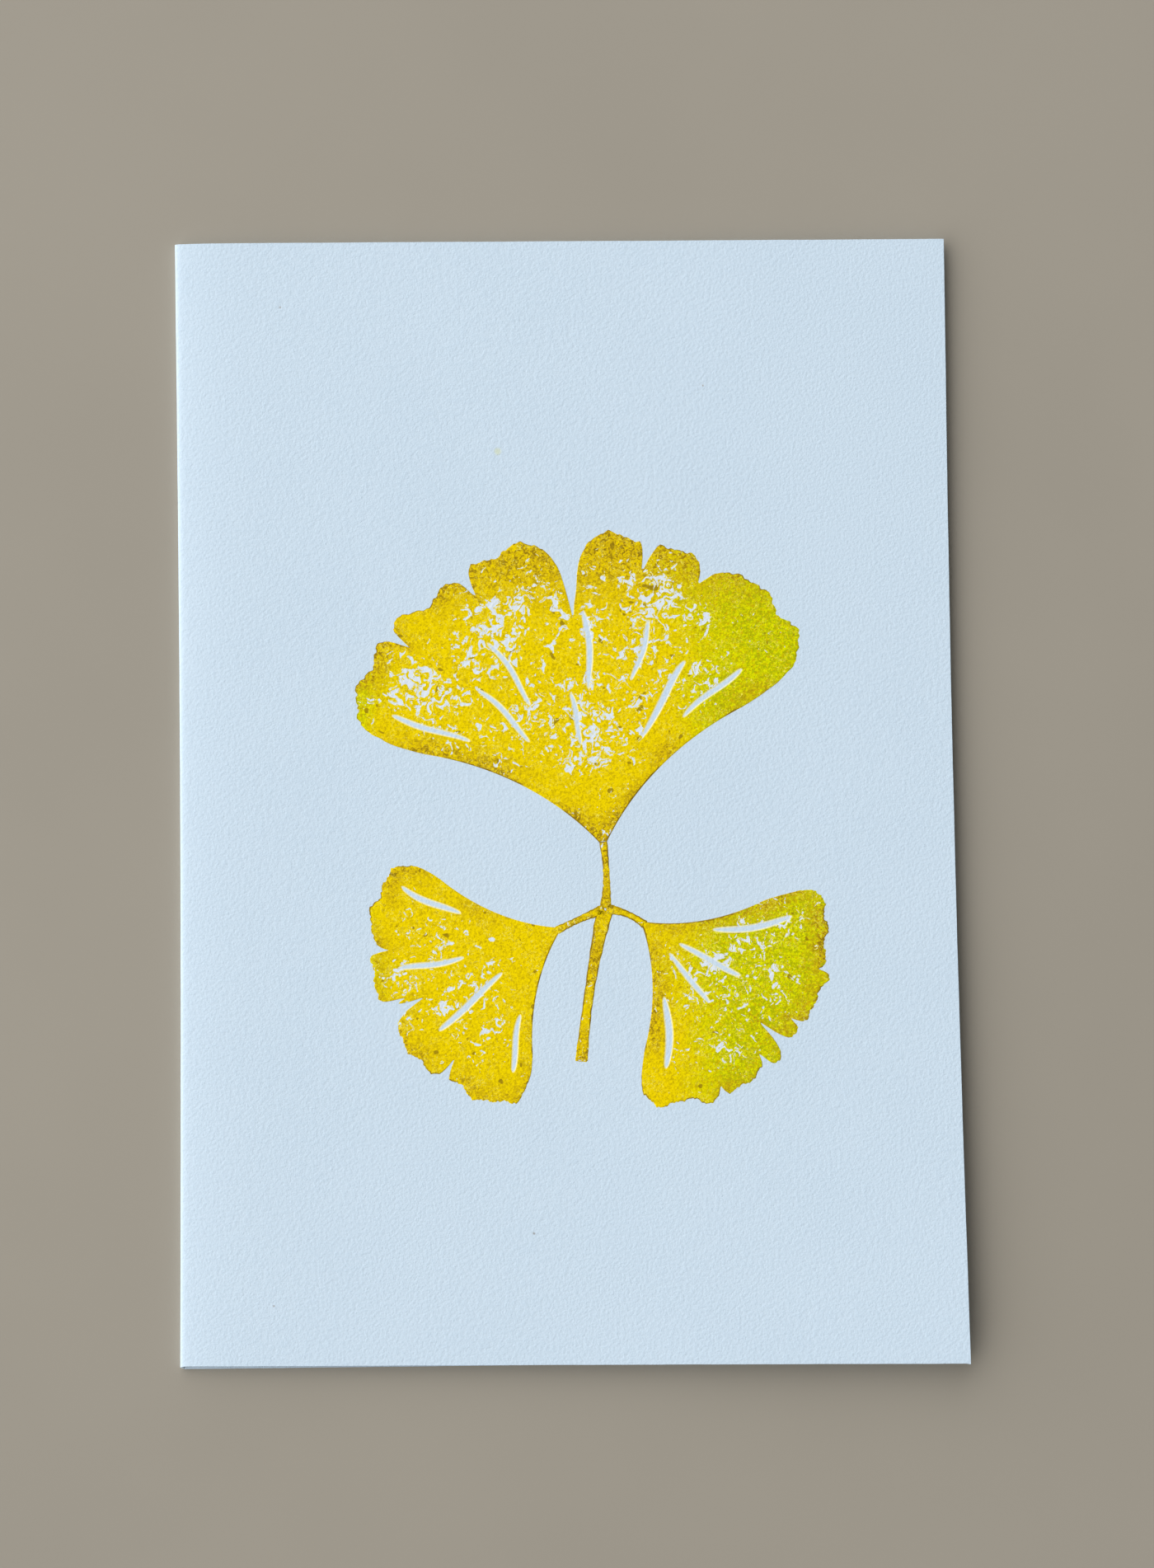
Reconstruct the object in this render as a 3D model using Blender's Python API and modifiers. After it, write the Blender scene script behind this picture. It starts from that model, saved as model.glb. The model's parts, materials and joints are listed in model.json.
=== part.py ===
"""Folded greeting card in portrait format, closed and lying on its back.

One sheet of heavy card folded down its left side. The rear leaf lies flat and carries the rounded
fold. The front leaf turns about the fold like the cover of a book, and at rest it stands slightly
off the rear leaf, because the fold springs. Metres, +Z up. X runs from the fold to the opening side,
Y runs from the foot to the head, and the origin is under the middle of the card.
"""
import math

import bmesh
import bpy

# Driving dimensions
CARD_WIDTH = 0.1050
CARD_HEIGHT = 0.1522
CARD_THICKNESS = 0.0004
FOLD_GAP = 0.0004            # air between the two leaves at the fold
FOOT_OVERHANG = 0.0004       # the rear leaf is this much longer at the foot
OPENING_INSET = 0.0003       # the rear leaf is this much narrower at the opening side

# How the front leaf lifts off the rear one: a short rise by the fold, then a slow one towards the
# opening side, most of all at the foot, whose corner curls up
NEAR_RISE = 0.0002
NEAR_LENGTH = 0.0040
HEAD_LIFT = 0.0003           # slow part of the lift at the opening side, at the head
FOOT_LIFT = 0.0022           # the same at the foot
FOOT_CURL = 2.5              # above 1 the foot's extra lift gathers near the foot
OPENING_CURL = 1.4           # above 1 the lift gathers near the opening side

# Room between the fixed fold and the leaf that turns round it
TURN_CLEARANCE = 0.0003

FOLD_RADIUS = CARD_THICKNESS + FOLD_GAP / 2
FOLD_X = FOLD_RADIUS - CARD_WIDTH / 2
FOLD_Z = FOLD_RADIUS
FOLD_SEGMENTS = 12

# Nearest that the front leaf's inner edge comes to the fold's axis, so that it clears the fold
# all the way round
LEAF_START = math.sqrt((FOLD_RADIUS + TURN_CLEARANCE) ** 2 - (FOLD_GAP / 2) ** 2)
LEAF_END = CARD_WIDTH - FOLD_RADIUS
LEAF_COLUMNS = 26
LEAF_ROWS = 12
COLUMN_CROWDING = 1.6        # above 1 the columns stand closer together by the fold

PAPER_COLOUR = (0.60, 0.72, 0.83)
PAPER_ROUGHNESS = 0.85


def clear_scene():
    for item in list(bpy.data.objects):
        bpy.data.objects.remove(item, do_unlink=True)


def make_collection(name):
    collection = bpy.data.collections.new(name)
    bpy.context.scene.collection.children.link(collection)
    return collection


def make_material(name, colour, roughness):
    material = bpy.data.materials.new(name)
    material.use_nodes = True
    shader = material.node_tree.nodes["Principled BSDF"]
    shader.inputs["Base Color"].default_value = (*colour, 1.0)
    shader.inputs["Roughness"].default_value = roughness
    shader.inputs["Metallic"].default_value = 0.0
    return material


def arc(radius, start, end, segments):
    """Points on an arc round the fold's axis, angles in radians from +X."""
    angles = [start + (end - start) * step / segments for step in range(segments + 1)]
    return [(radius * math.cos(angle), radius * math.sin(angle)) for angle in angles]


def make_rear_leaf(collection, material):
    """Flat leaf and rounded fold as one outline, drawn in X and Z round the fold's axis."""
    half_turn = math.pi
    leaf_end = LEAF_END - OPENING_INSET
    outline = [(leaf_end, -FOLD_RADIUS), (leaf_end, -FOLD_GAP / 2)]
    outline += arc(FOLD_GAP / 2, 1.5 * half_turn, 0.5 * half_turn, FOLD_SEGMENTS)
    outline += arc(FOLD_RADIUS, 0.5 * half_turn, 1.5 * half_turn, FOLD_SEGMENTS)

    curve = bpy.data.curves.new("rear_leaf_outline", "CURVE")
    curve.dimensions = "2D"
    curve.fill_mode = "BOTH"
    curve.extrude = CARD_HEIGHT / 2
    spline = curve.splines.new("POLY")
    spline.points.add(len(outline) - 1)
    for point, (x, z) in zip(spline.points, outline):
        point.co = (x, z, 0.0, 1.0)
    spline.use_cyclic_u = True

    leaf = bpy.data.objects.new("rear_leaf", curve)
    leaf.location = (FOLD_X, 0.0, FOLD_Z)
    leaf.rotation_euler = (math.radians(90), 0.0, 0.0)
    curve.materials.append(material)
    collection.objects.link(leaf)
    return leaf


def front_lift(along, up):
    """Height of the front leaf over its flat place. along runs 0 to 1 from fold to opening side,
    up runs 0 to 1 from foot to head."""
    distance = along * (LEAF_END - LEAF_START)
    near = NEAR_RISE * (1.0 - math.exp(-distance / NEAR_LENGTH))
    slow = HEAD_LIFT + (FOOT_LIFT - HEAD_LIFT) * (1.0 - up) ** FOOT_CURL
    return near + slow * along ** OPENING_CURL


def make_front_leaf(collection, material, fold_axis):
    """Open grid bent by front_lift, then given the card's thickness upwards."""
    mesh = bpy.data.meshes.new("front_leaf")
    grid = bmesh.new()
    bmesh.ops.create_grid(grid, x_segments=LEAF_COLUMNS, y_segments=LEAF_ROWS, size=1.0)
    foot = FOOT_OVERHANG - CARD_HEIGHT / 2
    for vertex in grid.verts:
        along = ((vertex.co.x + 1.0) / 2) ** COLUMN_CROWDING
        up = (vertex.co.y + 1.0) / 2
        vertex.co.x = LEAF_START + along * (LEAF_END - LEAF_START)
        vertex.co.y = foot + up * (CARD_HEIGHT - FOOT_OVERHANG)
        vertex.co.z = FOLD_GAP / 2 + front_lift(along, up)
    grid.to_mesh(mesh)
    grid.free()

    leaf = bpy.data.objects.new("front_leaf", mesh)
    leaf.parent = fold_axis
    mesh.materials.append(material)
    collection.objects.link(leaf)

    halves = leaf.modifiers.new("Split in triangles", "TRIANGULATE")
    halves.quad_method = "FIXED"
    wall = leaf.modifiers.new("Card thickness", "SOLIDIFY")
    wall.thickness = CARD_THICKNESS
    wall.offset = 1.0
    return leaf


def make_fold_axis(collection):
    """Empty on the fold's axis, which runs along Y."""
    axis = bpy.data.objects.new("fold_axis", None)
    axis.location = (FOLD_X, 0.0, FOLD_Z)
    axis.empty_display_size = FOLD_RADIUS * 10
    collection.objects.link(axis)
    return axis


def main():
    clear_scene()
    card = make_collection("folded_greeting_card")
    front_material = make_material("card_front", PAPER_COLOUR, PAPER_ROUGHNESS)
    rear_material = make_material("card_rear", PAPER_COLOUR, PAPER_ROUGHNESS)
    fold_axis = make_fold_axis(card)
    make_rear_leaf(card, rear_material)
    make_front_leaf(card, front_material, fold_axis)


main()
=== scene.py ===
import json
import math

import bpy
import numpy as np
from mathutils import Euler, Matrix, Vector


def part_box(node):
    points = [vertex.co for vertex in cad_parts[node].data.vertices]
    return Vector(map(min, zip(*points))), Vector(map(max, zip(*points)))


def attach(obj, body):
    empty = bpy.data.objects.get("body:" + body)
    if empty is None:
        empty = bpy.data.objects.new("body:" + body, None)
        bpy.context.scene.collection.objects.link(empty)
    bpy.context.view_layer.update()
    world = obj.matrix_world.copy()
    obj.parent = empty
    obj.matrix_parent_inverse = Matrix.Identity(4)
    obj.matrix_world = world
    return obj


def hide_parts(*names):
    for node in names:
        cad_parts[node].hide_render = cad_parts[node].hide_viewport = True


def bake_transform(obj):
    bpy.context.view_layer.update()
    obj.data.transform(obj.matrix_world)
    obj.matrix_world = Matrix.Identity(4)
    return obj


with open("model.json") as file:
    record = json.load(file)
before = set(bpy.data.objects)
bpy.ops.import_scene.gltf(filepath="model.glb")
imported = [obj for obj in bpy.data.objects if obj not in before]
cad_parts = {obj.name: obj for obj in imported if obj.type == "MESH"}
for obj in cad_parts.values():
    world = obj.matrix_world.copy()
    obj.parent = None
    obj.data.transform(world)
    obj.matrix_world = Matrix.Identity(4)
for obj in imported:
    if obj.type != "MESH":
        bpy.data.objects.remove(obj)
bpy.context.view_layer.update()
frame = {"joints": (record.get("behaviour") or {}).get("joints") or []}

mm = 0.001

# The sheet's main sizes come from the solids
rearLow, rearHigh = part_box("rear_leaf")
frontLow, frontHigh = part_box("front_leaf")
foldX, _, foldZ = frame["joints"][0]["pos_m"]
foldRadius = rearHigh.z / 2
thickness = rearHigh.z - frontLow.z
seam = frontLow.x - foldX            # where the rounded fold hands over to the leaves

sheet = {
    "nearRise": 0.32 * mm,           # quick rise of the front leaf beside the fold
    "nearLength": 4.0 * mm,
    "headLift": 0.3 * mm,            # slow part of the lift at the opening side, at the head
    "footLift": 2.08 * mm,           # the same at the foot
    "footCurl": 2.5,                 # above 1 the foot's extra lift gathers near the foot
    "openingCurl": 1.4,              # above 1 the lift gathers near the opening side
    "cockle": 0.035 * mm,            # long soft waves in the front leaf
    "edgeWander": 0.015 * mm,        # how far the cut edges stray from straight
    "edgeRound": 0.05 * mm,          # roundness of the cut edges
    "foldBow": 0.35 * mm,            # how far the fold stands in, halfway up
    "openingBow": 0.40 * mm,         # the same for the opening side
    "footRise": 0.55 * mm,           # how much the front leaf's foot rises at the fold
    "footDrop": 0.33 * mm,           # and how much it sinks at the opening side
    "rearFootRise": 0.46 * mm,       # how much the rear leaf's foot rises at the fold
    "headSlant": 0.50 * mm,          # how much lower the head is at the opening side
    "tip": 0.10 * mm,                # pointed tip left by the knife at the opening side's foot
    "tipWidth": 0.36 * mm,
    "foldDents": 0.018 * mm,         # how far the fold's ridge is pressed in, here and there
    "rows": 170,
    "columns": 160,
    "wallSteps": 4,
}

paper = {
    "colour": (0.681, 0.817, 0.938),
    "shade": (0.646, 0.786, 0.912),
    "roughness": 0.86,
    "bare": (0.80, 0.88, 0.96),      # where the block left gaps in the ink
    "cloudSize": 14 * mm,
    "dentSize": 0.45 * mm,
    "dentDepth": 0.046 * mm,
    "grainSize": 0.26 * mm,
    "grainDepth": 0.031 * mm,
    "raggedSize": 0.3 * mm,          # how the specks' outlines fray
    "ragged": 0.25 * mm,
    "specks": [                      # place on the front in mm, radius in mm and colour
        (-38.1, 67.1, 0.11, (0.44, 0.45, 0.46)),
        (-5.2, -58.2, 0.13, (0.38, 0.39, 0.40)),
        (19.2, 55.7, 0.10, (0.45, 0.45, 0.44)),
        (-39.9, -67.3, 0.09, (0.45, 0.46, 0.47)),
        (-8.8, 47.0, 0.55, (0.70, 0.79, 0.66)),
    ],
}

ink = {
    "yellow": (0.98, 0.74, 0.001),
    "green": (0.81, 0.84, 0.001),
    "amber": (0.68, 0.49, 0.003),    # grain in the yellow
    "olive": (0.40, 0.44, 0.004),    # grain in the green
    "ochre": (0.69, 0.46, 0.008),
    "brown": (0.31, 0.195, 0.008),
    "light": (0.97, 0.86, 0.12),
    "cream": (0.95, 0.93, 0.62),
    "film": 0.035 * mm,              # how far the ink stands above the paper
    "bead": 0.28 * mm,               # width over which the film rises from its edge
    "sink": 0.10 * mm,               # how deep the film's underside lies in the paper
    "roughness": 0.60,
    "driftSize": 9 * mm,             # patches in which the yellow turns green
    "patchSize": 11 * mm,            # patches of ochre along the rims
    "grainSize": 0.36 * mm,          # amber grain
    "gritSize": 0.34 * mm,           # olive grain in the green
    "mottleSize": 0.50 * mm,         # ochre and brown
    "wormSize": 1.0 * mm,            # short lighter lines
    "breakSize": 1.5 * mm,           # how they are broken up
    "speckSize": 1.2 * mm,
    "crowdSize": 9 * mm,             # crowds of flecks
    "wobbleSize": 0.8 * mm,          # unevenness of the dark line at the rims
    "gapSize": 7 * mm,               # and its gaps
    "peelSize": 0.45 * mm,
    "peelDepth": 0.020 * mm,
    "fleckSize": 1.25 * mm,
    "fleckDepth": 0.02 * mm,
    "fleckLevel": 0.945,             # lower leaves more of the paper bare
}


# Mesh tools

def gridFaces(rows, columns, first=0):
    # Quads between neighbouring points of a rows by columns grid, seen anticlockwise from above
    index = first + np.arange(rows * columns).reshape(rows, columns)
    corners = (index[:-1, :-1], index[:-1, 1:], index[1:, 1:], index[1:, :-1])
    return np.stack(corners, axis=-1).reshape(-1, 4)


def borderRing(rows, columns):
    # Indices once round the grid, anticlockwise from above
    index = np.arange(rows * columns).reshape(rows, columns)
    sides = (index[0, :-1], index[:-1, -1], index[-1, :0:-1], index[:0:-1, 0])
    return np.concatenate(sides)


def putMesh(name, points, quads, sharpDegrees=40):
    mesh = bpy.data.meshes.new(name)
    mesh.vertices.add(len(points))
    mesh.vertices.foreach_set("co", points.astype(np.float32).ravel())
    mesh.loops.add(quads.size)
    mesh.loops.foreach_set("vertex_index", quads.astype(np.int32).ravel())
    mesh.polygons.add(len(quads))
    mesh.polygons.foreach_set("loop_start", np.arange(0, quads.size, 4, dtype=np.int32))
    mesh.update(calc_edges=True)
    mesh.shade_smooth()
    mesh.set_sharp_from_angle(angle=math.radians(sharpDegrees))
    piece = bpy.data.objects.new(name, mesh)
    bpy.context.scene.collection.objects.link(piece)
    return piece


def slab(name, upper, lower, wallSteps=0, bulge=0.0):
    # A closed sheet between two grids of points. The wall at step w of n lies at share w/n from the
    # upper border to the lower one, pushed outwards by bulge times the square root of sin(pi w/n).
    rows, columns = upper.shape[:2]
    ring = borderRing(rows, columns)
    top = upper.reshape(-1, 3)
    bottom = lower.reshape(-1, 3)
    count = len(top)
    along = np.roll(top[ring], -1, axis=0) - np.roll(top[ring], 1, axis=0)
    outward = np.cross(along, top[ring] - bottom[ring])
    outward /= np.linalg.norm(outward, axis=1, keepdims=True)

    share = np.arange(1, wallSteps + 1)[:, None, None] / (wallSteps + 1)
    walls = top[ring] * (1 - share) + bottom[ring] * share
    walls = walls + outward * bulge * np.sqrt(np.sin(np.pi * share))
    points = np.concatenate([top, bottom, walls.reshape(-1, 3)])

    wallIndex = 2 * count + np.arange(wallSteps * len(ring)).reshape(wallSteps, len(ring))
    loops = np.concatenate([ring[None], wallIndex, ring[None] + count])
    after = np.roll(loops, -1, axis=1)
    wallQuads = np.stack([loops[:-1], loops[1:], after[1:], after[:-1]], axis=-1).reshape(-1, 4)
    topQuads = gridFaces(rows, columns)
    bottomQuads = gridFaces(rows, columns, count)[:, ::-1]
    return putMesh(name, points, np.concatenate([topQuads, bottomQuads, wallQuads]))


def wander(place, seed, lengths, size):
    # Sum over the lengths of size * sin(2 pi place / length + random phase), each longer wave
    # counting for more, scaled so that the whole stays within size
    draw = np.random.default_rng(seed)
    total = np.zeros_like(place)
    weights = np.sqrt(np.array(lengths) / max(lengths))
    for length, weight in zip(lengths, weights):
        total = total + weight * np.sin(2 * np.pi * place / length + draw.uniform(0, 2 * np.pi))
    return size * total / weights.sum()


def smoothStep(low, high, value):
    share = np.clip((value - low) / (high - low), 0, 1)
    return share * share * (3 - 2 * share)


# The folded sheet

def bow(y, size):
    # Nothing at the foot and the head, size halfway up, along half a sine wave
    up = np.clip((y - rearLow.y) / (rearHigh.y - rearLow.y), 0, 1)
    return size * np.sin(np.pi * up)


def slant(x, size):
    # Nothing at the fold, size at the opening side
    return size * (x - foldX) / (frontHigh.x - foldX)


def leafLift(x, y):
    # Rise of the front leaf over its flat place: near rise * (1 - exp(-distance / near length)),
    # plus a slow lift times share across ** opening curl, where the slow lift grows from the head's
    # to the foot's as (1 - share up) ** foot curl
    start = foldX + seam + bow(y, sheet["foldBow"])
    along = np.clip((x - start) / (frontHigh.x - start), 0, 1)
    up = np.clip((y - frontLow.y) / (frontHigh.y - frontLow.y), 0, 1)
    near = sheet["nearRise"] * (1 - np.exp(-along * (frontHigh.x - start) / sheet["nearLength"]))
    slow = sheet["headLift"] + (sheet["footLift"] - sheet["headLift"]) * (1 - up) ** sheet["footCurl"]
    return near + slow * along ** sheet["openingCurl"]


def cockle(x, y):
    # Two crossing long waves, faded out at the fold and at the opening side
    share = np.clip((x - foldX - seam) / (frontHigh.x - foldX - seam), 0, 1)
    fade = np.sin(np.pi * share) ** 1.5
    slanted = wander(x + 0.35 * y, 11, [47 * mm, 29 * mm, 17 * mm], 0.6)
    crossing = wander(y - 0.25 * x, 12, [61 * mm, 33 * mm, 13 * mm], 0.4)
    return sheet["cockle"] * fade * (slanted + crossing)


def frontTop(x, y):
    # Height of the front leaf's printed face
    return rearHigh.z + leafLift(x, y) + cockle(x, y)


def inset(along, seed, lengths):
    # How far a cut edge stands in from its limit: its roundness and what it strays
    return sheet["edgeRound"] + sheet["edgeWander"] - wander(along, seed, lengths, sheet["edgeWander"])


def headEdge(x, seed, height):
    return height - inset(x, seed, [23 * mm, 11 * mm, 4.3 * mm])


def footEdge(x, seed, height):
    return height + inset(x, seed, [19 * mm, 9 * mm, 4.1 * mm])


def openingEdge(y, seed, place):
    return place - inset(y, seed, [31 * mm, 12 * mm, 4.7 * mm]) - bow(y, sheet["openingBow"])


def frontFoot(x):
    # The tip is tip * exp(-(distance from the corner / tip width) ** 2)
    tip = sheet["tip"] * np.exp(-((x - frontHigh.x) / sheet["tipWidth"]) ** 2)
    fall = slant(x, sheet["footRise"] + sheet["footDrop"])
    return footEdge(x, 31, frontLow.y + sheet["footRise"]) - fall - tip


def frontHead(x):
    return headEdge(x, 32, frontHigh.y) - slant(x, sheet["headSlant"])


def rearFoot(x):
    return footEdge(x, 33, rearLow.y + sheet["rearFootRise"]) - slant(x, sheet["rearFootRise"])


def rearHead(x):
    return headEdge(x, 34, rearHigh.y) - slant(x, sheet["headSlant"])


def leafGrid(foot, head, opening):
    # Plan of a leaf: x runs from the seam to the opening edge, y from the foot edge to the head
    # edge. The columns crowd at both sides: share across = s - 0.75 sin(2 pi s) / (2 pi)
    even = np.linspace(0, 1, sheet["columns"])[None, :]
    along = even - 0.75 * np.sin(2 * np.pi * even) / (2 * np.pi)
    up = np.linspace(0, 1, sheet["rows"])[:, None]
    roughY = rearLow.y + up * (rearHigh.y - rearLow.y)
    start = foldX + seam + bow(roughY, sheet["foldBow"])
    x = start + along * (opening(roughY) - start)
    y = foot(x) + up * (head(x) - foot(x))
    return x, y


def makeFrontLeaf():
    x, y = leafGrid(frontFoot, frontHead, lambda y: openingEdge(y, 35, frontHigh.x))
    z = frontTop(x, y)
    upper = np.stack([x, y, z], axis=-1)
    lower = np.stack([x, y, z - thickness], axis=-1)
    return slab("frontLeaf", upper, lower, sheet["wallSteps"], sheet["edgeRound"])


def makeRearLeaf():
    x, y = leafGrid(rearFoot, rearHead, lambda y: openingEdge(y, 36, rearHigh.x))
    upper = np.stack([x, y, np.full_like(x, thickness)], axis=-1)
    lower = np.stack([x, y, np.zeros_like(x)], axis=-1)
    return slab("rearLeaf", upper, lower, sheet["wallSteps"], sheet["edgeRound"])


def makeFold():
    # A profile carried along Y: straight from the rear seam to the fold's axis, a quarter turn to
    # the side, then a shoulder up to the front seam. At share u of the way over, the shoulder is
    # rise * (1 - (1 - u) ** power) ** (1 / power) + slope * way * u above the axis, so that it
    # meets the leaf at the leaf's own slope. The outer and inner profiles have equal counts.
    slope = sheet["nearRise"] / sheet["nearLength"]
    quarter = np.radians(np.linspace(270, 180, 13))[1:]
    over = 1 - np.cos(0.5 * np.pi * np.linspace(0, 1, 25)[1:])
    up = np.linspace(0, 1, sheet["rows"])[:, None]
    half = np.concatenate([np.zeros(5), np.linspace(0, 0.5, 13)[1:], np.linspace(0.5, 1, 25)[1:]])
    change = smoothStep(0, 1, half)[None, :]
    sides = []
    for radius, power in ((foldRadius, 3.5), (foldRadius - thickness, 2.0)):
        way = radius + seam
        rise = radius - slope * way
        shoulder = rise * (1 - (1 - over) ** power) ** (1 / power) + slope * way * over
        x = np.concatenate([np.linspace(seam, 0, 5), radius * np.cos(quarter), way * over - radius])
        z = np.concatenate([np.full(5, -radius), radius * np.sin(quarter), shoulder])
        placeX = foldX + x[None, :]
        foot = rearFoot(placeX) * (1 - change) + frontFoot(placeX) * change
        head = rearHead(placeX) * (1 - change) + frontHead(placeX) * change
        y = foot + up * (head - foot)
        dent = wander(y, 41, [17 * mm, 7.3 * mm, 4.1 * mm], 0.5) + 0.5
        pull = 1 - np.sin(np.pi * half) * dent * sheet["foldDents"] / foldRadius
        shift = foldX + bow(y, sheet["foldBow"])
        sides.append(np.stack([shift + x * pull, y, foldZ + z * pull], axis=-1))
    return slab("fold", sides[0], sides[1], sheet["wallSteps"], sheet["edgeRound"])


# The printed sprig: fan leaves on short stalks, in millimetres from the middle of the print

motif = {
    "place": (1.9, -1.7),
    "spur": (3.0, -13.5),
    "leaves": [
        {"name": "topLeaf", "base": (3.0, -5.5), "toward": 98, "radius": 42.5, "half": 64,
         "notch": 0.24, "cuts": 5, "strokes": 8, "seed": 3},
        {"name": "rightLeaf", "base": (7.5, -15.0), "toward": -40, "radius": 26.5, "half": 58,
         "notch": 0.22, "cuts": 4, "strokes": 4, "seed": 5},
        {"name": "leftLeaf", "base": (-2.6, -15.8), "toward": 207, "radius": 26.5, "half": 58,
         "notch": 0.20, "cuts": 3, "strokes": 4, "seed": 8},
    ],
    "stem": (-0.5, -34.0),           # lower end of the twig
    "columns": 400,
    "rows": 96,
    "strokeWidth": 1.0,
    "strokeLength": (6.5, 11.5),
    "stalkWidth": 1.6,
    "stalkReach": 1.2,               # how far a stalk runs into its leaf
    "farStroke": 9.0,                # distance given where no carved stroke is near
    "greenFrom": (5.0, 27.0),        # across the print, where the yellow turns to green
    "greenLeft": (-24.0, -34.0),     # and where it does so again at the left
    "ochreFrom": (24.0, 37.0),       # up the print, where it turns to ochre
}


def marginShare(across, leaf):
    # The margin's radius over the leaf's full radius, by place across the fan from -1 to 1: a
    # shallow arch with quarter-ellipse corners, scallops, a middle notch and a few small cuts
    draw = np.random.default_rng(leaf["seed"])
    corner = np.clip((np.abs(across) - 0.80) / 0.20, 0, 1)
    share = (1 - 0.10 * across ** 2) * (0.62 + 0.38 * np.sqrt(1 - corner ** 2))
    share = share * (1 + wander(across, leaf["seed"] + 20, [0.41, 0.23, 0.13], 0.030))
    share = share * (1 + wander(across, leaf["seed"] + 21, [0.051, 0.031, 0.019], 0.006))
    share = share * (1 - leaf["notch"] * np.exp(-(np.abs(across - 0.02) / 0.026) ** 1.25))
    places = np.linspace(-0.78, 0.78, leaf["cuts"] + 2)[1:-1] + draw.uniform(-0.07, 0.07, leaf["cuts"])
    for place in places:
        depth = draw.uniform(0.05, 0.13)
        share = share * (1 - depth * np.exp(-(np.abs(across - place) / 0.014) ** 1.3))
    return share


def strokeGap(across, reach, spread, leaf):
    # Distance in millimetres from the nearest carved stroke's edge, negative inside the stroke.
    # Each stroke follows a vein, and its half width tapers as the root of t times (1 - t) ** 0.4.
    draw = np.random.default_rng(leaf["seed"] + 50)
    gap = np.full(np.broadcast(across, reach).shape, motif["farStroke"])
    count = leaf["strokes"]
    places = np.linspace(-0.80, 0.80, count) + draw.uniform(-0.05, 0.05, count)
    for place in places:
        start = draw.uniform(0.22, 0.55)
        length = draw.uniform(*motif["strokeLength"]) / leaf["radius"]
        end = min(start + length, 0.90 * float(marginShare(np.array(place), leaf)))
        along = (reach - start) / (end - start)
        inside = np.clip(along, 0, 1)
        width = 0.5 * motif["strokeWidth"] * draw.uniform(0.6, 1.0)
        width = width * 1.5 * np.sqrt(inside) * (1 - inside) ** 0.4
        sway = 0.012 * np.sin(5 * inside + draw.uniform(0, 6))
        sideways = np.abs(across - place - sway) * spread * leaf["radius"] * reach
        past = np.maximum(np.maximum(-along, along - 1), 0) * (end - start) * leaf["radius"]
        gap = np.minimum(gap, np.hypot(sideways, past) - width)
    return gap


def addValues(piece, name, values):
    attribute = piece.data.attributes.new(name, "FLOAT", "POINT")
    attribute.data.foreach_set("value", values.astype(np.float32).ravel())


def inkFilm(name, x, y, outline, strokes):
    # x and y in millimetres from the print's middle, outline and strokes in millimetres inwards
    # from the film's rim and from the nearest carved stroke. The height is the smaller of
    # 2 outline - 0.25 and strokes, over the bead's width, and runs from 1 inside to -1 under the
    # paper, in units of the film's thickness.
    green = np.maximum(smoothStep(*motif["greenFrom"], x), smoothStep(*motif["greenLeft"], x))
    ochre = smoothStep(*motif["ochreFrom"], y)
    height = np.clip(np.minimum(outline * 2 - 0.25, strokes) * mm / ink["bead"], -1, 1)
    x = (motif["place"][0] + x) * mm
    y = (motif["place"][1] + y) * mm
    z = frontTop(x, y)
    upper = np.stack([x, y, z + height * ink["film"]], axis=-1)
    lower = np.stack([x, y, z - ink["sink"]], axis=-1)
    piece = slab(name, upper, lower)
    for label, values in (("rim", outline), ("carve", strokes), ("green", green), ("ochre", ochre)):
        addValues(piece, label, np.concatenate([values.ravel(), values.ravel()]))
    return piece


def makeFanLeaf(leaf):
    # Point = base + reach * radius in direction toward + half angle * across * spread(reach),
    # where the spread is narrow at the base, so that the sides curve in like a fan's
    around = np.linspace(-1, 1, motif["columns"])[None, :]
    across = np.sin(0.5 * np.pi * around) * 0.65 + around * 0.35
    outwards = np.linspace(0.015, 1, motif["rows"])[:, None] ** 0.85
    margin = marginShare(across, leaf)
    reach = outwards * margin
    spread = math.radians(leaf["half"]) * (0.50 + 0.50 * reach ** 0.9)
    angle = math.radians(leaf["toward"]) - across * spread
    x = leaf["base"][0] + leaf["radius"] * reach * np.cos(angle)
    y = leaf["base"][1] + leaf["radius"] * reach * np.sin(angle)
    marginGap = (margin - reach) * leaf["radius"]
    sideGap = (1 - np.abs(across)) * spread * leaf["radius"] * reach
    strokes = strokeGap(across, reach, spread, leaf)
    return inkFilm(leaf["name"], x, y, np.minimum(marginGap, sideGap), strokes)


def makeStalk(name, end, heading, width, seed):
    # A ribbon along a quadratic curve from the spur to its end, where it points in its heading
    start = np.array(motif["spur"], float)
    end = np.array(end, float)
    bend = end - np.array(heading) * 0.55 * np.linalg.norm(end - start)
    along = np.linspace(0, 1, 60)[:, None]
    path = start * (1 - along) ** 2 + 2 * bend * along * (1 - along) + end * along ** 2
    slope = 2 * (bend - start) * (1 - along) + 2 * (end - bend) * along
    slope = slope / np.linalg.norm(slope, axis=1, keepdims=True)
    normal = np.stack([slope[:, 1], -slope[:, 0]], axis=1)
    across = np.linspace(-1, 1, 15)[None, :]
    half = 0.5 * width * (1.15 - 0.45 * np.sin(np.pi * along * 0.8)) * np.ones_like(across)
    half = half * (1 + wander(along * 20, seed, [3.1, 1.7], 0.05))
    x = path[:, :1] + normal[:, :1] * half * across
    y = path[:, 1:] + normal[:, 1:] * half * across
    ends = np.minimum(along, 1 - along) * np.linalg.norm(end - start)
    outline = np.minimum((1 - np.abs(across)) * half, ends)
    return inkFilm(name, x, y, outline, np.full_like(outline, motif["farStroke"]))


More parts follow.
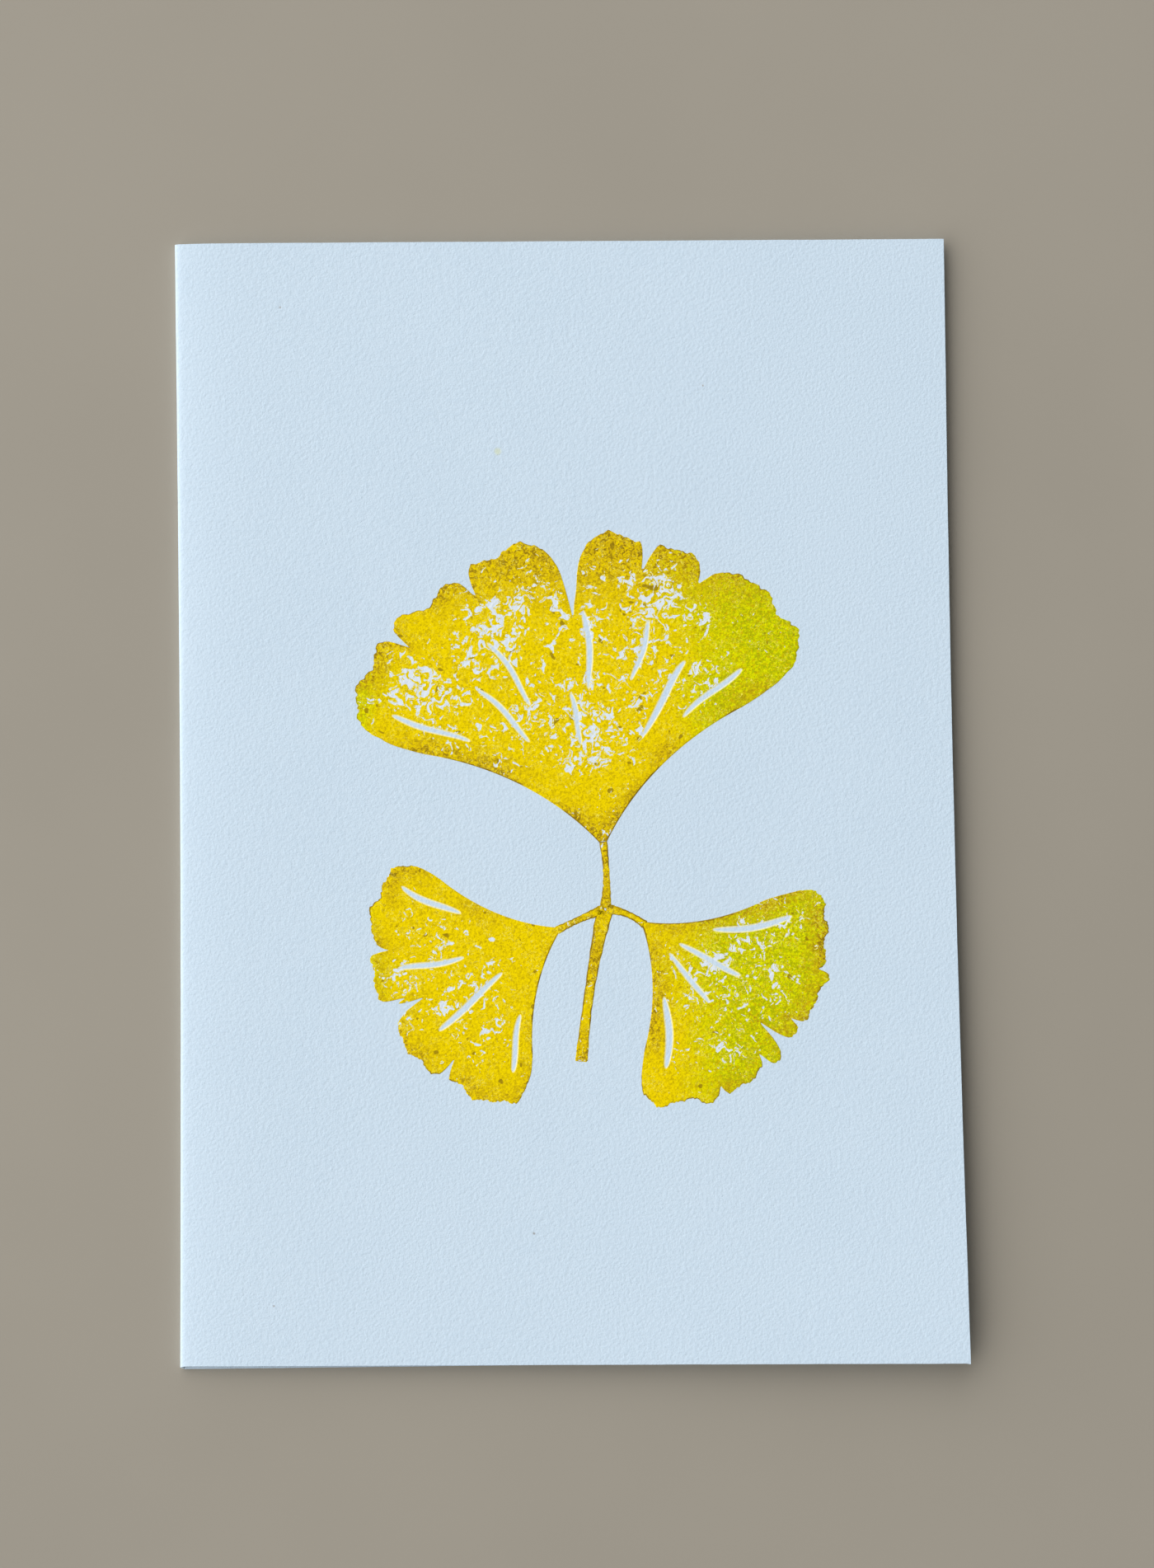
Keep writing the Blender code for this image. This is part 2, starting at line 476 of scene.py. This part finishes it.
def makeStalks():
    stalks = []
    for leaf in motif["leaves"]:
        toward = math.radians(leaf["toward"])
        heading = np.array([math.cos(toward), math.sin(toward)])
        end = np.array(leaf["base"]) + motif["stalkReach"] * heading
        name = leaf["name"] + "Stalk"
        stalks.append(makeStalk(name, end, heading, motif["stalkWidth"], leaf["seed"] + 70))
    stalks.append(makeStalk("stem", motif["stem"], (-0.1, -0.99), 1.4 * motif["stalkWidth"], 90))
    return stalks


# Materials

def newMaterial(name):
    material = bpy.data.materials.new(name)
    material.use_nodes = True
    tree = material.node_tree
    return material, tree, tree.nodes["Principled BSDF"]


def addNode(tree, kind, inputs=None, **settings):
    # A node with its settings, and its inputs given as values or as the sockets they are linked to
    node = tree.nodes.new(kind)
    for key, value in settings.items():
        setattr(node, key, value)
    for key, value in (inputs or {}).items():
        if isinstance(value, bpy.types.NodeSocket):
            tree.links.new(value, node.inputs[key])
        else:
            node.inputs[key].default_value = value
    return node


def noise(tree, place, size, detail=3.0, roughness=0.55, distortion=0.0):
    node = addNode(tree, "ShaderNodeTexNoise", {
        "Vector": place, "Scale": 1.0 / size, "Detail": detail, "Roughness": roughness,
        "Distortion": distortion})
    return node.outputs["Fac"]


def ramp(tree, value, low, high, toLow=0.0, toHigh=1.0):
    node = addNode(tree, "ShaderNodeMapRange", {
        "Value": value, "From Min": low, "From Max": high, "To Min": toLow, "To Max": toHigh},
        interpolation_type="SMOOTHSTEP")
    return node.outputs["Result"]


def maths(tree, operation, first, second=0.0):
    node = addNode(tree, "ShaderNodeMath", {0: first, 1: second}, operation=operation)
    return node.outputs["Value"]


def mixColour(tree, share, first, second):
    # first and second are colours of three numbers or sockets
    node = tree.nodes.new("ShaderNodeMix")
    node.data_type = "RGBA"
    sockets = {s.identifier: s for s in node.inputs}
    for key, value in (("Factor_Float", share), ("A_Color", first), ("B_Color", second)):
        if isinstance(value, bpy.types.NodeSocket):
            tree.links.new(value, sockets[key])
        elif isinstance(value, tuple):
            sockets[key].default_value = (*value, 1.0)
        else:
            sockets[key].default_value = value
    return next(s for s in node.outputs if s.identifier == "Result_Color")


def bump(tree, height, distance, before=None):
    inputs = {"Height": height, "Distance": distance, "Strength": 1.0}
    if before is not None:
        inputs["Normal"] = before
    return addNode(tree, "ShaderNodeBump", inputs).outputs["Normal"]


def objectPlace(tree):
    return addNode(tree, "ShaderNodeTexCoord").outputs["Object"]


def paperColour(tree, place):
    # Faint cloudiness of the pulp over a cool white
    cloud = ramp(tree, noise(tree, place, paper["cloudSize"], 1.0), 0.35, 0.70, 0.0, 0.25)
    grain = ramp(tree, noise(tree, place, paper["dentSize"], 2.0), 0.35, 0.70, 0.0, 0.75)
    share = maths(tree, "ADD", cloud, grain)
    return mixColour(tree, share, paper["colour"], paper["shade"])


def paperRelief(tree, place):
    dents = noise(tree, place, paper["dentSize"], 1.0, 0.45)
    grain = noise(tree, place, paper["grainSize"], 2.0, 0.6)
    return bump(tree, grain, paper["grainDepth"], bump(tree, dents, paper["dentDepth"]))


def makePaper():
    material, tree, shader = newMaterial("cardPaper")
    place = objectPlace(tree)
    colour = paperColour(tree, place)
    for x, y, radius, dark in paper["specks"]:
        height = float(frontTop(np.array(x * mm), np.array(y * mm)))
        away = addNode(tree, "ShaderNodeVectorMath", {0: place, 1: (x * mm, y * mm, height)},
                       operation="DISTANCE").outputs["Value"]
        fray = maths(tree, "MULTIPLY", noise(tree, place, paper["raggedSize"]), paper["ragged"])
        away = maths(tree, "ADD", away, fray)
        spot = ramp(tree, away, (radius + 0.25) * mm, (radius * 0.4 + 0.10) * mm)
        colour = mixColour(tree, spot, colour, dark)
    tree.links.new(colour, shader.inputs["Base Color"])
    tree.links.new(paperRelief(tree, place), shader.inputs["Normal"])
    shader.inputs["Roughness"].default_value = paper["roughness"]
    shader.inputs["Specular IOR Level"].default_value = 0.25
    return material


def attributeValue(tree, name):
    return addNode(tree, "ShaderNodeAttribute", attribute_name=name).outputs["Fac"]


def makeInk():
    material, tree, shader = newMaterial("printingInk")
    place = objectPlace(tree)
    rim = attributeValue(tree, "rim")
    carve = attributeValue(tree, "carve")

    # Broad colour: yellow, turning green on one side
    drift = maths(tree, "MULTIPLY", noise(tree, place, ink["driftSize"], 2.0), 0.9)
    greenShare = ramp(tree, maths(tree, "ADD", attributeValue(tree, "green"), drift), 0.50, 1.35)
    colour = mixColour(tree, greenShare, ink["yellow"], ink["green"])

    # Fine amber grain, with olive grain on top of it in the green
    grain = ramp(tree, noise(tree, place, ink["grainSize"], 2.0, 0.6, 0.8), 0.44, 0.66, 0.0, 0.95)
    colour = mixColour(tree, grain, colour, ink["amber"])
    grit = ramp(tree, noise(tree, place, ink["gritSize"], 2.0, 0.6, 0.8), 0.42, 0.60, 0.0, 0.80)
    colour = mixColour(tree, maths(tree, "MULTIPLY", grit, greenShare), colour, ink["olive"])

    # Worm-like mottling in ochre and brown along the rims and at the head of the print
    nearRim = ramp(tree, rim, 3.8, 0.0)
    patches = ramp(tree, noise(tree, place, ink["patchSize"], 1.0), 0.38, 0.62)
    rimPatches = maths(tree, "MULTIPLY", nearRim, patches)
    aged = maths(tree, "MAXIMUM", attributeValue(tree, "ochre"), rimPatches)
    mottle = noise(tree, place, ink["mottleSize"], 2.0, 0.55, 1.2)
    pale = maths(tree, "MULTIPLY", aged, ramp(tree, mottle, 0.34, 0.56))
    colour = mixColour(tree, pale, colour, ink["ochre"])
    dark = maths(tree, "MULTIPLY", aged, ramp(tree, mottle, 0.50, 0.64))
    colour = mixColour(tree, dark, colour, ink["brown"])

    # Short lighter worms where the film is thin
    worms = noise(tree, place, ink["wormSize"], 1.0, 0.5, 1.8)
    ridge = maths(tree, "ABSOLUTE", maths(tree, "SUBTRACT", worms, 0.5))
    broken = ramp(tree, noise(tree, place, ink["breakSize"], 1.0), 0.48, 0.58, 0.0, 0.85)
    thin = maths(tree, "MULTIPLY", ramp(tree, ridge, 0.022, 0.004), broken)
    colour = mixColour(tree, thin, colour, ink["light"])

    # A few dark specks
    speck = ramp(tree, noise(tree, place, ink["speckSize"], 0.0), 0.79, 0.82, 0.0, 0.8)
    colour = mixColour(tree, speck, colour, ink["brown"])

    # Flecks where no ink took, in crowds, thickest away from the rims, with a pale fringe
    field = noise(tree, place, ink["fleckSize"], 3.0, 0.62, 1.3)
    crowd = maths(tree, "MULTIPLY", noise(tree, place, ink["crowdSize"], 2.0, 0.6), 0.50)
    inward = ramp(tree, rim, 0.5, 8.0, 0.0, 0.11)
    level = maths(tree, "ADD", maths(tree, "ADD", field, crowd), inward)
    halo = ramp(tree, level, ink["fleckLevel"] - 0.030, ink["fleckLevel"] - 0.008)
    fleck = ramp(tree, level, ink["fleckLevel"] - 0.006, ink["fleckLevel"] + 0.008)
    colour = mixColour(tree, halo, colour, ink["light"])
    colour = mixColour(tree, ramp(tree, carve, 0.24, 0.06), colour, ink["cream"])
    colour = mixColour(tree, fleck, colour, paper["bare"])

    # Broken dark line where the ink piled up at the rims
    wobble = maths(tree, "MULTIPLY", noise(tree, place, ink["wobbleSize"], 2.0), 0.50)
    line = ramp(tree, maths(tree, "ADD", rim, wobble), 0.60, 0.46)
    gaps = ramp(tree, noise(tree, place, ink["gapSize"], 2.0, 0.7), 0.44, 0.56)
    colour = mixColour(tree, maths(tree, "MULTIPLY", line, gaps), colour, ink["brown"])

    tree.links.new(colour, shader.inputs["Base Color"])
    gloss = ramp(tree, fleck, 0.0, 1.0, ink["roughness"], paper["roughness"])
    tree.links.new(gloss, shader.inputs["Roughness"])
    shader.inputs["Specular IOR Level"].default_value = 0.01
    peel = noise(tree, place, ink["peelSize"], 2.0, 0.6)
    relief = bump(tree, peel, ink["peelDepth"], paperRelief(tree, place))
    tree.links.new(bump(tree, fleck, -ink["fleckDepth"], relief), shader.inputs["Normal"])
    return material


def makeFloorFinish(colour):
    material, tree, shader = newMaterial("paleFloor")
    place = objectPlace(tree)
    cloud = ramp(tree, noise(tree, place, 60 * mm, 3.0), 0.3, 0.7)
    darker = tuple(0.96 * part for part in colour)
    tree.links.new(mixColour(tree, cloud, colour, darker), shader.inputs["Base Color"])
    shader.inputs["Roughness"].default_value = 0.8
    return material


# Assembly

frontLeaf = makeFrontLeaf()
rearLeaf = makeRearLeaf()
fold = makeFold()
cardPaper = makePaper()
for piece in (frontLeaf, rearLeaf, fold):
    piece.data.materials.append(cardPaper)
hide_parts("front_leaf")
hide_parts("rear_leaf")
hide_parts("rear_leaf")
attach(frontLeaf, "front")
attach(rearLeaf, "rear")
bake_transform(fold)
print("sheet:", len(frontLeaf.data.polygons), "faces in the front leaf")

printingInk = makeInk()
films = [makeFanLeaf(leaf) for leaf in motif["leaves"]]
films += makeStalks()
for film in films:
    film.data.materials.append(printingInk)
    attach(film, "front")
print("print:", sum(len(film.data.polygons) for film in films), "faces of ink")


# Floor, light and camera

studio = {
    "floorColour": (0.38, 0.345, 0.285),
    "floorSize": 3.0,
    "windowPower": 457.0,
    "windowSize": (15.0, 4.5),
    "windowSide": (-0.91, 0.41),     # which way from the card it stands
    "windowAway": 3.0,
    "windowHeight": 38,              # degrees over the floor
    "skyColour": (1.0, 1.0, 1.0),
    "skyStrength": 0.11,
}

view = {
    "imageHeight": 1902,             # pixels of the photograph
    "focal": 3000,                   # in the same pixels
    "place": (-3.25 * mm, -16.68 * mm, 334.16 * mm),
    "turn": (3.171, -0.748, -0.785),     # degrees about X, Y and Z from straight down
}


def makeFloor():
    half = studio["floorSize"] / 2
    x, y = np.meshgrid(np.linspace(-half, half, 9), np.linspace(-half, half, 9))
    points = np.stack([x, y, np.zeros_like(x)], axis=-1).reshape(-1, 3)
    floor = putMesh("floor", points, gridFaces(9, 9))
    floor.data.materials.append(makeFloorFinish(studio["floorColour"]))


def makeWindow():
    # A broad soft light on one side, so far off that it falls evenly over the card
    lamp = bpy.data.lights.new("window", "AREA")
    lamp.energy = studio["windowPower"]
    lamp.shape = "RECTANGLE"
    lamp.size, lamp.size_y = studio["windowSize"]
    height = math.radians(studio["windowHeight"])
    side = Vector((*studio["windowSide"], 0.0)).normalized()
    window = bpy.data.objects.new("window", lamp)
    window.location = studio["windowAway"] * (side * math.cos(height) + Vector((0, 0, math.sin(height))))
    window.rotation_euler = (-window.location).to_track_quat("-Z", "Y").to_euler()
    window.visible_camera = False
    bpy.context.scene.collection.objects.link(window)


def makeSky():
    world = bpy.data.worlds.new("softSky")
    world.use_nodes = True
    background = world.node_tree.nodes["Background"]
    background.inputs["Color"].default_value = (*studio["skyColour"], 1.0)
    background.inputs["Strength"].default_value = studio["skyStrength"]
    bpy.context.scene.world = world


def makeCamera():
    lens = bpy.data.cameras.new("camera")
    lens.sensor_width = 36.0
    lens.lens = lens.sensor_width * view["focal"] / view["imageHeight"]
    lens.clip_start = 0.01
    camera = bpy.data.objects.new("camera", lens)
    camera.location = view["place"]
    camera.rotation_euler = Euler([math.radians(angle) for angle in view["turn"]])
    bpy.context.scene.collection.objects.link(camera)
    bpy.context.scene.camera = camera


makeFloor()
makeWindow()
makeSky()
makeCamera()
bpy.context.scene.view_settings.view_transform = "Standard"
print("studio ready")
